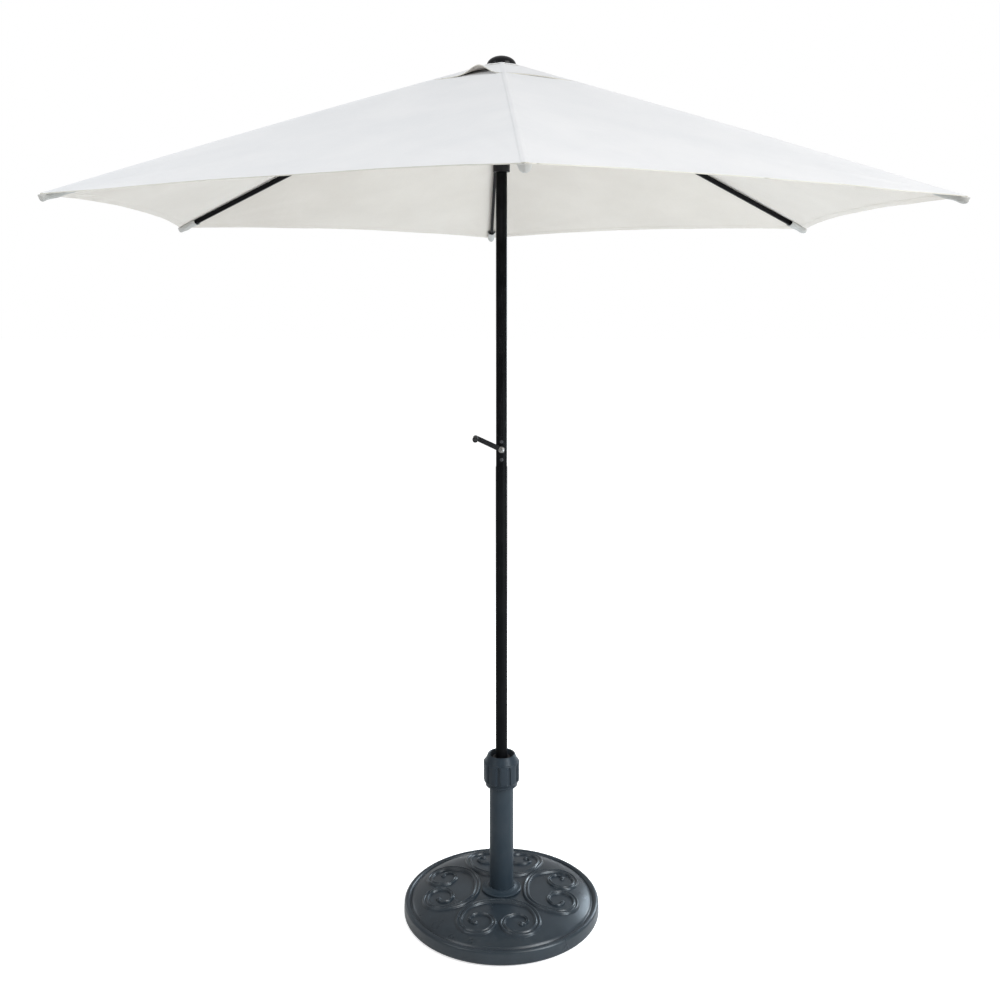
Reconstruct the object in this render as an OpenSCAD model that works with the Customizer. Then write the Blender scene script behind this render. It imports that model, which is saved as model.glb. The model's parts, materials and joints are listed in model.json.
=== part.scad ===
// Patio umbrella with a round weighted base.
// Six ribs hang from a crown hub, and six struts join them to a runner that a crank and cord move up and down
// the mast. The mast stands in a steel tube on the base, held by a sleeve and a lobed clamp nut.
// Millimetres, +Z up. The floor is z = 0 and the mast stands on the Z axis. The crank faces -Y.
// The canopy is drawn open.

/* [Canopy] */
// Distance from the mast's centre to the cloth's tip at a rib
open_radius = 1160; // [900:5:1500]
// Height of the canopy's point
crown_z = 2330; // [1900:1:2700]
// Slope of an open rib below level, in degrees
rib_slope = 19.4; // [12:0.1:28]
// Turn of the canopy about the mast, in degrees
canopy_turn = 1.9; // [-30:0.1:30]
// How far the hem curves in between two tips
hem_curve = 36; // [0:1:80]
// Thickness of the cloth
cloth = 1; // [0.6:0.1:2]
// Radius of the hole under the wind vent, along a rib
vent_hole = 95; // [60:1:160]
// Radius of the wind vent's top cloth, along a rib
vent_radius = 215; // [120:1:260]
// How far the vent cloth's edge curves in between two ribs
vent_curve = 18; // [0:1:40]

/* [Ribs and struts] */
// Distance of a rib's pivot from the mast's centre
rib_pivot_r = 30; // [28:0.5:40]
// Width of a rib
rib_w = 10; // [8:0.5:16]
// Height of a rib
rib_h = 14; // [10:0.5:22]
// Wall of a rib tube
rib_wall = 1; // [0.8:0.1:2]
// Length of a rib from its pivot to the end of its tube
rib_len = 1186; // [900:1:1500]
// Distance along a rib from its pivot to the strut's pivot
strut_at = 400; // [300:1:480]
// Distance of the strut's pivot below the rib's middle
strut_drop = 16; // [14:0.5:22]
// Width of a strut
strut_w = 8; // [6:0.5:12]
// Height of a strut
strut_h = 10; // [8:0.5:14]
// Diameter of the pivot pins
pin_d = 4; // [3:0.5:6]

/* [Runner] */
// Height of the strut pivots on the runner, open
runner_z = 2078; // [1900:1:2200]
// Distance of the strut pivots from the mast's centre
runner_pivot_r = 42; // [38:0.5:50]
// Diameter of the runner's collar
runner_d = 45; // [42:0.5:60]
// Length of the collar below the pivots
runner_down = 42; // [30:1:80]

/* [Mast] */
// Diameter of the upper pole
upper_d = 30; // [25:0.5:38]
// Diameter of the lower pole
lower_d = 32; // [28:0.5:40]
// Wall of both poles
pole_wall = 0.8; // [0.8:0.1:2]
// Height where the lower pole ends
joint_z = 1240; // [900:1:1500]
// Length of the upper pole inside the lower one
joint_lap = 90; // [60:1:150]
// Height of the crank's axle
crank_z = 1289; // [1000:1:1500]
// Length of the crank's arm between centres
crank_len = 77; // [60:1:110]
// Angle of the crank's arm from +X, seen from the front, in degrees
crank_angle = 155; // [0:1:359]
// Diameter of the lift cord
cord_d = 2.4; // [1.5:0.1:4]

/* [Base] */
// Diameter of the base
base_d = 538; // [400:1:700]
// Height of the base's rim
base_rim = 41; // [30:1:60]
// Height of the base at the foot of the tube
base_top = 62; // [50:1:90]
// Diameter of the tube that holds the mast
tube_d = 66; // [50:1:80]
// Wall of that tube
tube_wall = 2; // [1.2:0.1:3]
// Height of the tube's top
tube_top = 352; // [250:1:500]
// Largest diameter of the clamp nut
nut_d = 99; // [80:1:120]
// Number of lobes around the clamp nut
nut_lobes = 10; // [6:1:14]

/* [Hidden] */
$fn = 64;
slope = tan(rib_slope);
rib_pivot_z = crown_z - cloth - (rib_h / 2 + 0.5) / cos(rib_slope) - slope * rib_pivot_r;
strut_x = rib_pivot_r + strut_at * cos(rib_slope) - strut_drop * sin(rib_slope);
strut_z = rib_pivot_z - strut_at * sin(rib_slope) - strut_drop * cos(rib_slope);
strut_len = norm([strut_x - runner_pivot_r, strut_z - runner_z]);
strut_tilt = atan2(strut_z - runner_z, strut_x - runner_pivot_r);
upper_r = upper_d / 2;
lower_r = lower_d / 2;
base_r = base_d / 2;
pole_top = rib_pivot_z - 4;
pulley_x = 13.6;
pulley_z = 2256;
pulley_r = 4.2;
spool_r = 7;
cord_out = pulley_x + pulley_r + cord_d / 2;
cord_in = spool_r + cord_d / 2;

// Places its children in the plane of rib k, with +X outward.
module at_rib(k) {
  rotate([0, 0, canopy_turn - 90 + 60 * (k - 1)])
    children();
}

// Places its children on the middle line of rib k, with +X along it from the pivot.
module on_rib(k) {
  at_rib(k)
    translate([rib_pivot_r, 0, rib_pivot_z])
      rotate([0, rib_slope, 0])
        children();
}

// A rounded bar along +X.
module bar(length, w, h, r) {
  translate([0, -w / 2, -h / 2 + r])
    cube([length, w, h - 2 * r]);
  translate([0, -w / 2 + r, -h / 2])
    cube([length, w - 2 * r, h]);
  for (y = [-1, 1], z = [-1, 1])
    translate([0, y * (w / 2 - r), z * (h / 2 - r)])
      rotate([0, 90, 0])
        cylinder(r = r, h = length, $fn = 24);
}

// A cylinder along Y, centred.
module cross(d, length) {
  rotate([90, 0, 0])
    cylinder(d = d, h = length, center = true, $fn = 32);
}

// ---------------------------------------------------------------- base

// The height of the groove inside the rim, and of the domed top at radius r.
groove_z = base_rim - 6;
function dome(r) = groove_z + (base_top - groove_z) * pow(1 - pow(r / (base_r - 16), 5), 0.8);

module scroll_arc(x, y, r, from, turn, bead) {
  translate([x, y, 0])
    rotate([0, 0, from])
      rotate_extrude(angle = turn, $fn = 96)
        translate([r, 0])
          circle(r = bead, $fn = 24);
}

// One moulded scroll: a bow near the tube that curls into a spiral with a bead at each end. Each arc starts
// where the one before it ends: [distance from the mast, distance to the side, radius, start, turn, bead].
module scroll() {
  arcs = [[130.5, 49.9, 56, 170, -65, 4.8], [139.5, 17, 90, 105, -45, 5.2], [162, 56, 45, 60, -150, 4.9],
          [162, 46, 35, -90, -90, 4.6], [152, 46, 25, 180, -90, 4.2], [154, 59, 12, 90, -90, 3.8]];
  translate([0, 0, base_top + 4.6])
    rotate([0, 3.2, 0]) {
      scroll_arc(413, 0, 343, 170, 20, 5.1);
      for (s = [-1, 1])
        scale([1, s, 1]) {
          for (a = arcs)
            scroll_arc(a[0], a[1], a[2], a[3], a[4], a[5]);
          translate([166, 59, 0.5])
            sphere(r = 6, $fn = 32);
        }
    }
}

module base_weight() {
  color("#3c474f")
    difference() {
      union() {
        rotate_extrude($fn = 128)
          polygon(concat(
            [[0, 3], [base_r - 7, 3], [base_r - 2, 6], [base_r, 12], [base_r - 0.5, base_rim - 11],
             [base_r - 3, base_rim - 4], [base_r - 7.5, base_rim], [base_r - 12, base_rim - 1.5],
             [base_r - 15, groove_z], [base_r - 18, groove_z]],
            [for (i = [0:10]) let (r = (base_r - 20) * (1 - i / 10) + 36 * i / 10) [r, dome(r)]],
            [[0, base_top]]));
        for (a = [0:90:270])
          rotate([0, 0, a - 3])
            scroll();
      }
      translate([0, 0, -1])
        cylinder(r = 28, h = 21);
      translate([0, 0, -1])
        cylinder(r = 6, h = 80);
      for (a = [30:60:330])
        rotate([0, 0, a])
          translate([222, 0, 0])
            cylinder(r = 13, h = 6);
    }
}

module base_feet() {
  color("#1c1c1c")
    for (a = [30:60:330])
      rotate([0, 0, a])
        translate([222, 0, 0])
          cylinder(r1 = 11.5, r2 = 12.7, h = 5.8);
}

module foot_washer() {
  color("#b9bcbf")
    difference() {
      translate([0, 0, 17.4])
        cylinder(r = 20, h = 2.4);
      cylinder(r = 5.6, h = 40);
    }
}

module foot_bolt() {
  color("#b9bcbf") {
    translate([0, 0, 11])
      cylinder(r = 9, h = 6.2, $fn = 6);
    translate([0, 0, 17])
      cylinder(r = 5, h = base_top - 17 + 4.6);
  }
}

module base_tube() {
  color("#2b3136")
    difference() {
      translate([0, 0, base_top + 0.2])
        cylinder(d = tube_d, h = tube_top - base_top - 0.2);
      translate([0, 0, base_top + 5])
        cylinder(d = tube_d - 2 * tube_wall, h = tube_top);
      cylinder(r = 5.15, h = base_top + 30);
    }
}

module tube_flange() {
  color("#2b3136")
    translate([0, 0, base_top + 0.3])
      rotate_extrude($fn = 96)
        polygon([[33.3, 0], [52, 0], [54.5, 1.5], [54.5, 3.5], [52, 5.5], [45, 6.5], [41, 8], [38, 10],
                 [36, 11], [33.3, 11]]);
}

module threaded_collar() {
  color("#25282b")
    rotate_extrude($fn = 96)
      polygon([[26.9, tube_top - 50], [30.7, tube_top - 50], [30.7, tube_top + 0.3], [33, tube_top + 0.3],
               [33, tube_top + 3], [30, tube_top + 3], [30, tube_top + 8], [31.1, tube_top + 9.5],
               [30, tube_top + 11], [30, tube_top + 13], [31.1, tube_top + 14.5], [30, tube_top + 16],
               [30, tube_top + 18], [31.1, tube_top + 19.5], [30, tube_top + 21], [30, tube_top + 23],
               [31.1, tube_top + 24.5], [30, tube_top + 26], [30, tube_top + 28], [31.1, tube_top + 29.5],
               [30, tube_top + 31], [30, tube_top + 48], [26.9, tube_top + 48]]);
}

// ---------------------------------------------------------------- clamp nut and sleeve

module clamp_nut() {
  z = tube_top + 5;
  color("#2d343a")
    difference() {
      rotate_extrude($fn = 96)
        polygon([[31.5, z], [43, z], [44, z + 1], [44, z + 9], [47, z + 11], [nut_d / 2, z + 15],
                 [nut_d / 2, z + 62], [48, z + 68], [45, z + 73], [38, z + 85], [36, z + 87],
                 [34, z + 86.5], [31, z + 80], [27, z + 70], [31.5, z + 58]]);
      for (i = [0:nut_lobes - 1])
        rotate([0, 0, 360 / nut_lobes * (i + 0.5)])
          translate([nut_d / 2 + 4, 0, 0]) {
            translate([0, 0, z + 13])
              cylinder(r = 9, h = 44, $fn = 32);
            translate([0, 0, z + 57])
              sphere(r = 9, $fn = 32);
          }
    }
}

module reducer_sleeve() {
  color("#3c3d3e")
    difference() {
      rotate_extrude($fn = 96)
        polygon([[lower_r + 0.4, 290], [26.5, 290], [26.5, 414], [24.6, 424], [24.6, 434], [23.5, 435.5],
                 [18, 435.5], [lower_r + 0.4, 434]]);
      for (a = [0, 90])
        rotate([0, 0, a + 45])
          translate([-30, -1, 370])
            cube([60, 2, 80]);
    }
}

// ---------------------------------------------------------------- mast

module lower_pole() {
  color("#26282b")
    difference() {
      translate([0, 0, base_top + 9.4])
        cylinder(r = lower_r, h = joint_z - base_top - 9.4);
      translate([0, 0, 10])
        cylinder(r = lower_r - pole_wall, h = joint_z);
      translate([0, lower_r, joint_z - 45])
        cross(8.4, 12);
    }
}

module pole_foot() {
  color("#1b1b1b") {
    translate([0, 0, base_top + 5.3])
      cylinder(r = lower_r, h = 4);
    translate([0, 0, base_top + 9])
      cylinder(r = lower_r - pole_wall - 0.2, h = 28);
  }
}

module upper_pole() {
  color("#26282b")
    difference() {
      translate([0, 0, joint_z - joint_lap])
        cylinder(r = upper_r, h = pole_top - joint_z + joint_lap);
      translate([0, 0, joint_z - joint_lap - 5])
        cylinder(r = upper_r - pole_wall, h = pole_top);
      translate([0, upper_r, joint_z - 45])
        cross(8.4, 12);
      translate([0, -upper_r, crank_z])
        cross(11, 12);
      for (z = [21, -28])
        translate([0, -upper_r, crank_z + z])
          cross(4.6, 12);
      translate([0, -3.2, pulley_z - 11])
        cube([30, 6.4, 22]);
      translate([pulley_x, 0, pulley_z])
        cross(3.2, 40);
    }
}

module pole_button() {
  color("#b9bcbf") {
    translate([0, 14.5, joint_z - 45])
      cross(8, 7);
    difference() {
      translate([0, 11.4, joint_z - 45])
        cross(11, 1.4);
      translate([0, 0, joint_z - 60])
        cylinder(r = 9, h = 30);
    }
  }
}

module crank_housing() {
  color("#1e1e20")
    difference() {
      translate([0, 0, crank_z - 41])
        cylinder(r = upper_r - pole_wall - 0.3, h = 80);
      translate([0, 0, crank_z])
        cross(25.4, 14.4);
      translate([0, -10, crank_z])
        cross(8.4, 16);
      translate([0, 8, crank_z])
        cross(6.4, 8);
      translate([cord_in, 0, crank_z + 4])
        cylinder(r = 2.2, h = 60, $fn = 24);
      for (z = [21, -28])
        translate([0, -10, crank_z + z])
          cross(4.2, 16);
    }
}

module crank_plate() {
  color("#131416")
    difference() {
      intersection() {
        difference() {
          translate([0, 0, crank_z - 40])
            cylinder(r = upper_r + 1.4, h = 76);
          translate([0, 0, crank_z - 50])
            cylinder(r = upper_r + 0.2, h = 100);
        }
        translate([-11, -30, crank_z - 60])
          cube([22, 30, 120]);
      }
      translate([0, -upper_r, crank_z])
        cross(11, 12);
      for (z = [21, -28])
        translate([0, -upper_r, crank_z + z])
          cross(4.6, 12);
    }
}

module housing_screws() {
  color("#a9adb0")
    for (z = [21, -28])
      translate([0, -16.8, crank_z + z]) {
        intersection() {
          translate([0, 13.5, 0])
            sphere(r = 14, $fn = 64);
          translate([0, -0.3, 0])
            cross(10, 1.3);
        }
        translate([0, 6, 0])
          cross(4, 13);
      }
}

module crown_hub() {
  color("#1d1e20")
    difference() {
      union() {
        translate([0, 0, rib_pivot_z - 14])
          cylinder(r = 38, h = 16.8);
        translate([0, 0, rib_pivot_z - 30])
          cylinder(r = 19, h = 20);
        translate([0, 0, rib_pivot_z - 14])
          cylinder(r = 22, h = 22);
      }
      for (k = [1:6])
        at_rib(k) {
          translate([22, -rib_w / 2 - 0.5, rib_pivot_z - 40])
            cube([40, rib_w + 1, 80]);
          translate([rib_pivot_r, 0, rib_pivot_z])
            cross(3.1, 25);
        }
      translate([0, 0, rib_pivot_z - 60])
        cylinder(r = upper_r + 0.1, h = 56.3);
      translate([0, 0, rib_pivot_z - 20])
        cylinder(r = 4.2, h = 60);
    }
}

module crown_pins() {
  color("#a9adb0")
    for (k = [1:6])
      at_rib(k)
        translate([rib_pivot_r, 0, rib_pivot_z])
          cross(3, 22);
}

module finial() {
  rim = crown_z - 11;
  color("#141416") {
    rotate_extrude($fn = 96)
      polygon(concat(
        [for (a = [0:10:90]) [39 * cos(a), rim + 24 * sin(a)]],
        [for (a = [90:-10:0]) [36.6 * cos(a), rim + 21.5 * sin(a)]]));
    translate([0, 0, rib_pivot_z - 2])
      cylinder(r = 4, h = rim + 22.5 - rib_pivot_z);
    translate([0, 0, crown_z - 1])
      cylinder(r = 9, h = 11);
  }
}

module pulley_wheel() {
  color("#d9d7cf")
    translate([pulley_x, 0, pulley_z])
      rotate([90, 0, 0])
        rotate_extrude($fn = 48)
          polygon([[1.6, -2.6], [6.6, -2.6], [6.6, -1.9], [pulley_r, -1], [pulley_r, 1], [6.6, 1.9],
                   [6.6, 2.6], [1.6, 2.6]]);
}

module pulley_pin() {
  color("#a9adb0")
    translate([pulley_x, 0, pulley_z])
      cross(3, 17);
}

module cord_inner() {
  color("#e8e6df") {
    translate([cord_in, 0, crank_z])
      cylinder(d = cord_d, h = pulley_z - crank_z, $fn = 24);
    translate([pulley_x, 0, pulley_z])
      rotate([90, 0, 0])
        rotate_extrude(angle = 180, $fn = 48)
          translate([pulley_r + cord_d / 2, 0])
            circle(d = cord_d, $fn = 24);
  }
}

// ---------------------------------------------------------------- runner

module cord_outer() {
  color("#e8e6df")
    translate([cord_out, 0, runner_z + 4])
      cylinder(d = cord_d, h = pulley_z - runner_z - 4.2, $fn = 24);
}

module runner() {
  color("#1d1e20")
    difference() {
      union() {
        translate([0, 0, runner_z - runner_down])
          cylinder(d = runner_d, h = runner_down + 22);
        translate([0, 0, runner_z - 8])
          cylinder(r = 50, h = 15);
      }
      cylinder(r = upper_r + 0.4, h = 3000);
      for (k = [1:6])
        at_rib(k) {
          translate([24, -strut_w / 2 - 0.7, runner_z - 30])
            cube([40, strut_w + 1.4, 60]);
          translate([runner_pivot_r, 0, runner_z])
            cross(3.1, 22);
        }
      translate([cord_out, 0, runner_z + 3])
        cylinder(d = cord_d + 0.6, h = 60, $fn = 24);
    }
}

// Two short pins per strut, ending at the faces of its slot.
module runner_pins() {
  color("#a9adb0")
    for (k = [1:6], s = [-1, 1])
      at_rib(k)
        translate([runner_pivot_r, s * (strut_w / 2 + 3.8), runner_z])
          cross(3, 5.6);
}

// ---------------------------------------------------------------- crank

module crank_spool() {
  color("#c9c8c2")
    difference() {
      translate([0, 0, crank_z])
        union() {
          cross(spool_r * 2, 12);
          for (y = [-5.9, 5.9])
            translate([0, y, 0])
              cross(24, 1.4);
          translate([0, -14, 0])
            cross(8, 17);
          translate([0, 8, 0])
            cross(6, 7);
        }
      translate([0, -20, crank_z])
        cross(4.2, 18);
    }
}

module crank_arm() {
  color("#18191b")
    translate([0, 0, crank_z])
      rotate([0, -crank_angle, 0])
        difference() {
          union() {
            translate([0, -20.4, 0])
              cross(20, 6);
            translate([0, -20.4, 0])
              hull() {
                cross(14, 5);
                translate([crank_len, 0, 0])
                  cross(13, 5);
              }
          }
          translate([0, -20, 0])
            cross(8.2, 20);
          translate([crank_len, -20, 0])
            cross(6, 20);
        }
}

module arm_screw() {
  color("#c4c6c8")
    translate([0, 0, crank_z]) {
      intersection() {
        translate([0, -15.6, 0])
          sphere(r = 12, $fn = 64);
        translate([0, -25.6, 0])
          cross(17, 4);
      }
      translate([0, -18.5, 0])
        cross(4, 13);
    }
}

module grip_pin() {
  color("#a9adb0")
    translate([0, 0, crank_z])
      rotate([0, -crank_angle, 0])
        translate([crank_len, 0, 0]) {
          translate([0, -43, 0])
            cross(5.9, 50);
          translate([0, -69, 0])
            cross(9, 2);
        }
}

module crank_grip() {
  color("#18191b")
    translate([0, 0, crank_z])
      rotate([0, -crank_angle, 0])
        translate([crank_len, 0, 0])
          rotate([90, 0, 0])
            rotate_extrude($fn = 48)
              polygon([[3.2, 23.6], [6.5, 23.6], [7.4, 25], [7, 34], [7.8, 48], [7.8, 60], [7.2, 66],
                       [5, 66.6], [5, 70.6], [7, 70.6], [6.6, 72], [5, 73], [4.6, 71], [4.6, 67.6],
                       [3.2, 67.6]]);
}

// ---------------------------------------------------------------- ribs, struts and canopy

module rib(k) {
  color("#1f2022")
    on_rib(k)
      difference() {
        union() {
          bar(rib_len, rib_w, rib_h, 2.4);
          cross(rib_h, rib_w);
        }
        translate([12, 0, 0])
          bar(rib_len, rib_w - 2 * rib_wall, rib_h - 2 * rib_wall, 1.4);
        cross(3.3, 20);
        for (x = [8, 24])
          translate([strut_at + x, 0, 0])
            cross(4.1, 20);
      }
}

// The bracket with its two rivets and the strut's pin.
module bracket(k) {
  color("#26282b")
    on_rib(k) {
      difference() {
        union() {
          for (s = [-1, 1])
            translate([strut_at, s * (rib_w / 2 + 1), 0]) {
              translate([-8, -0.75, -strut_drop])
                cube([16, 1.5, strut_drop + 4]);
              translate([-8, -0.75, -9])
                cube([40, 1.5, 13]);
              translate([0, 0, -strut_drop])
                cross(16, 1.5);
            }
          translate([strut_at + 10, -rib_w / 2 - 1, -9])
            cube([22, rib_w + 2, 1.5]);
        }
        translate([strut_at, 0, -strut_drop])
          cross(pin_d + 0.1, 30);
        for (x = [8, 24])
          translate([strut_at + x, 0, 0])
            cross(4.1, 30);
      }
      for (x = [8, 24])
        translate([strut_at + x, 0, 0]) {
          cross(4, rib_w + 4.4);
          for (s = [-1, 1])
            translate([0, s * (rib_w / 2 + 2.5), 0])
              cross(6.4, 1.2);
        }
      translate([strut_at, 0, -strut_drop]) {
        cross(pin_d, rib_w + 4.4);
        for (s = [-1, 1])
          translate([0, s * (rib_w / 2 + 2.5), 0])
            cross(6.4, 1.2);
      }
    }
}

module rib_tip(k) {
  color("#141416")
    on_rib(k) {
      translate([rib_len - 24, 0, 0])
        bar(25, rib_w - 2 * rib_wall - 0.4, rib_h - 2 * rib_wall - 0.4, 1.2);
      translate([rib_len + 0.4, 0, 0])
        bar(8, rib_w + 0.6, rib_h, 2.8);
      translate([rib_len + 8.4, 0, 0])
        scale([0.6, 1, 1])
          sphere(r = rib_w / 2, $fn = 32);
    }
}

module strut(k) {
  color("#1f2022")
    at_rib(k)
      translate([strut_x, 0, strut_z])
        rotate([0, 180 - strut_tilt, 0])
          difference() {
            union() {
              bar(strut_len, strut_w, strut_h, 2);
              cross(12, strut_w);
              translate([strut_len, 0, 0])
                cross(12, strut_w);
            }
            cross(pin_d + 0.3, 20);
            translate([strut_len, 0, 0])
              cross(3.4, 20);
          }
}

// The plan outline of half a gore on the +Y side: along the rib, round the hem and back up the fold line.
function half_gore(inner, outer, curve, n) = concat(
  [[inner, 0]],
  [for (i = [0:n]) let (u = 0.5 * i / n, c = curve * 4 * u * (1 - u))
    [outer * (1 - u / 2) - c * cos(30), outer * u * sin(60) - c * sin(30)]],
  [[inner * 0.75, inner * sin(60) / 2]]);

// A thin gore over one rib, from fold line to fold line: z = top - along * x - across * |y|.
module gore(inner, outer, curve, top, along, across, n) {
  half = [for (p = half_gore(inner, outer, curve, n)) [p[0], p[1] > 0 ? p[1] - 0.1 : 0]];
  m = len(half);
  plan = concat(half, [for (i = [2:m - 1]) [half[i][0], -half[i][1]]]);
  r = len(plan);
  left = concat([0, 1], [for (i = [m:r - 1]) i]);
  ring = concat([for (i = [1:m - 1]) i], [0], [for (i = [r - 1:-1:m]) i]);
  polyhedron(
    points = concat(
      [for (p = plan) [p[0], p[1], top - along * p[0] - across * abs(p[1])]],
      [for (p = plan) [p[0], p[1], top - cloth - along * p[0] - across * abs(p[1])]]),
    faces = concat(
      [[for (i = [m - 1:-1:0]) i]],
      [left],
      [[for (i = [0:m - 1]) i + r]],
      [[for (i = [len(left) - 1:-1:0]) left[i] + r]],
      [for (i = [0:len(ring) - 1]) let (p = ring[i], q = ring[(i + 1) % len(ring)]) [p, q, q + r, p + r]]));
}

// The main cloth and the vent's top cloth over rib k.
module canopy(k) {
  color("#e3e0d6")
    at_rib(k) {
      gore(vent_hole, open_radius, hem_curve, crown_z + 0.3, slope, slope * tan(30), 8);
      gore(12, vent_radius, vent_curve, crown_z + cloth + 0.9, slope, slope * tan(30) - 0.11, 4);
    }
}

module rib_1() { rib(1); }
module rib_2() { rib(2); }
module rib_3() { rib(3); }
module rib_4() { rib(4); }
module rib_5() { rib(5); }
module rib_6() { rib(6); }
module bracket_1() { bracket(1); }
module bracket_2() { bracket(2); }
module bracket_3() { bracket(3); }
module bracket_4() { bracket(4); }
module bracket_5() { bracket(5); }
module bracket_6() { bracket(6); }
module tip_1() { rib_tip(1); }
module tip_2() { rib_tip(2); }
module tip_3() { rib_tip(3); }
module tip_4() { rib_tip(4); }
module tip_5() { rib_tip(5); }
module tip_6() { rib_tip(6); }
module strut_1() { strut(1); }
module strut_2() { strut(2); }
module strut_3() { strut(3); }
module strut_4() { strut(4); }
module strut_5() { strut(5); }
module strut_6() { strut(6); }
module canopy_1() { canopy(1); }
module canopy_2() { canopy(2); }
module canopy_3() { canopy(3); }
module canopy_4() { canopy(4); }
module canopy_5() { canopy(5); }
module canopy_6() { canopy(6); }

base_weight();
base_feet();
foot_washer();
foot_bolt();
base_tube();
tube_flange();
threaded_collar();
clamp_nut();
reducer_sleeve();
lower_pole();
pole_foot();
upper_pole();
pole_button();
crank_housing();
crank_plate();
housing_screws();
crown_hub();
crown_pins();
finial();
pulley_wheel();
pulley_pin();
cord_inner();
cord_outer();
runner();
runner_pins();
crank_spool();
crank_arm();
arm_screw();
grip_pin();
crank_grip();
rib_1();
rib_2();
rib_3();
rib_4();
rib_5();
rib_6();
bracket_1();
bracket_2();
bracket_3();
bracket_4();
bracket_5();
bracket_6();
tip_1();
tip_2();
tip_3();
tip_4();
tip_5();
tip_6();
strut_1();
strut_2();
strut_3();
strut_4();
strut_5();
strut_6();
canopy_1();
canopy_2();
canopy_3();
canopy_4();
canopy_5();
canopy_6();
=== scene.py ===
import json
import math

import bpy
import numpy as np
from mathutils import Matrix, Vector, noise


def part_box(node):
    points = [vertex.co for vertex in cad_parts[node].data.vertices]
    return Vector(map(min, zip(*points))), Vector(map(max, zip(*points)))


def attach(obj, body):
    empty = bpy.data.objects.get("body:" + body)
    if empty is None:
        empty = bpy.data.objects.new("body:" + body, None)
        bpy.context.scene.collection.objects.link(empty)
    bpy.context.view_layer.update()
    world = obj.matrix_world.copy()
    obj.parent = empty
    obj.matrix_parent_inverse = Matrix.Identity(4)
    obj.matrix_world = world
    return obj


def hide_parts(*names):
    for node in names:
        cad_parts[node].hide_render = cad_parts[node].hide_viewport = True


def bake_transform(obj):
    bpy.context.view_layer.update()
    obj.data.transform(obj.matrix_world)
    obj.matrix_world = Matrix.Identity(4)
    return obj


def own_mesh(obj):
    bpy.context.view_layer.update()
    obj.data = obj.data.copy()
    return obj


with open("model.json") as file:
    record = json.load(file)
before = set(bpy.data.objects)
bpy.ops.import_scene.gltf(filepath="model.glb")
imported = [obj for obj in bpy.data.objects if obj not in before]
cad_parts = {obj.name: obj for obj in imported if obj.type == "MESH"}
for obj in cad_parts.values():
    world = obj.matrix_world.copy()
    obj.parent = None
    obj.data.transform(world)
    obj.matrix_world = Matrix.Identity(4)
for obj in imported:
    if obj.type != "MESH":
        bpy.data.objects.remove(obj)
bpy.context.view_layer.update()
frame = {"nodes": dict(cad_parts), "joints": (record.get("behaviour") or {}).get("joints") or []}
nodes = frame["nodes"]
joints = {j["name"]: j for j in frame["joints"]}
scene = bpy.context.scene

# ---------------------------------------------------------------- driving sizes, in metres

RIBS = 6
OPEN_RADIUS = 1.160          # from the mast to the cloth's tip, along a rib
CROWN_Z = 2.330              # the point where the ribs' cloth lines would meet
SLOPE = math.radians(19.4)   # an open rib below level
HEM_CURVE = 0.036            # how far the hem curves in between two tips
HOLE_RADIUS = 0.095          # the hole under the wind vent
VENT_RADIUS = 0.215
VENT_CURVE = 0.018
VENT_START = 0.047           # the vent's gores start under the crown cap
VENT_HEM_WIDTH = 0.012
VENT_GAP = 0.0016            # how far the vent lies above the ribs' cloth lines, on the ribs
CAP_RADIUS = 0.053
CAP_HOLE = 0.0085            # the hole in the crown cap, which the finial's boss covers
CAP_GAP = 0.0030             # how far the crown cap lies above the ribs' cloth lines
CLOTH = 0.0008
HEM_WIDTH = 0.020
HEM_THICK = 0.0022
STRIP_HALF = 0.020           # half the width of the cloth that stays on the rib when the canopy folds
PLEAT_TURN = math.radians(30)  # how far a folded half gore turns out from its rib
FOLD_CLEAR = 0.08            # the share of a folded half gore's width that is left clear of its neighbour
POCKET_LENGTH = 0.074
POCKET_CLOTH = 0.0009
FIRST_RIB = 1.9              # how far rib 1 points to the right of the viewer, in degrees

TAN_SLOPE = math.tan(SLOPE)
T30 = math.tan(math.radians(30))
C30 = math.cos(math.radians(30))
S30 = 0.5

RIB_PIVOT = Vector(joints["rib_fold_1"]["pos_m"])
RIB_PIVOT_R = math.hypot(RIB_PIVOT.x, RIB_PIVOT.y)
RIB_PIVOT_Z = RIB_PIVOT.z
CLOSED = math.radians(joints["rib_fold_1"]["range_deg"][1])


# ---------------------------------------------------------------- small helpers

def smooth(x, low, high):
    """0 below low, 1 above high, with a smooth step between."""
    t = np.clip((np.asarray(x, float) - low) / (high - low), 0, 1)
    return t * t * (3 - 2 * t)


def make_object(name, points, faces, materials, face_material=None, uv=None, sharp=None):
    """A smooth-shaded mesh object. uv has one (u, v) per point, and sharp lists the edges with a corner."""
    mesh = bpy.data.meshes.new(name)
    mesh.from_pydata([tuple(map(float, p)) for p in points], [], [tuple(map(int, f)) for f in faces])
    for material in materials:
        mesh.materials.append(material)
    if face_material is not None:
        mesh.polygons.foreach_set("material_index", np.asarray(face_material, np.int32))
    mesh.polygons.foreach_set("use_smooth", np.ones(len(mesh.polygons), bool))
    if uv is not None:
        layer = mesh.uv_layers.new(name="UVMap")
        index = np.zeros(len(mesh.loops), np.int32)
        mesh.loops.foreach_get("vertex_index", index)
        layer.data.foreach_set("uv", np.asarray(uv, np.float32)[index].ravel())
    if sharp:
        wanted = {tuple(sorted(map(int, e))) for e in sharp}
        for edge in mesh.edges:
            if tuple(sorted(edge.vertices)) in wanted:
                edge.use_edge_sharp = True
    mesh.validate()
    mesh.update()
    obj = bpy.data.objects.new(name, mesh)
    scene.collection.objects.link(obj)
    return obj


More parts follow.
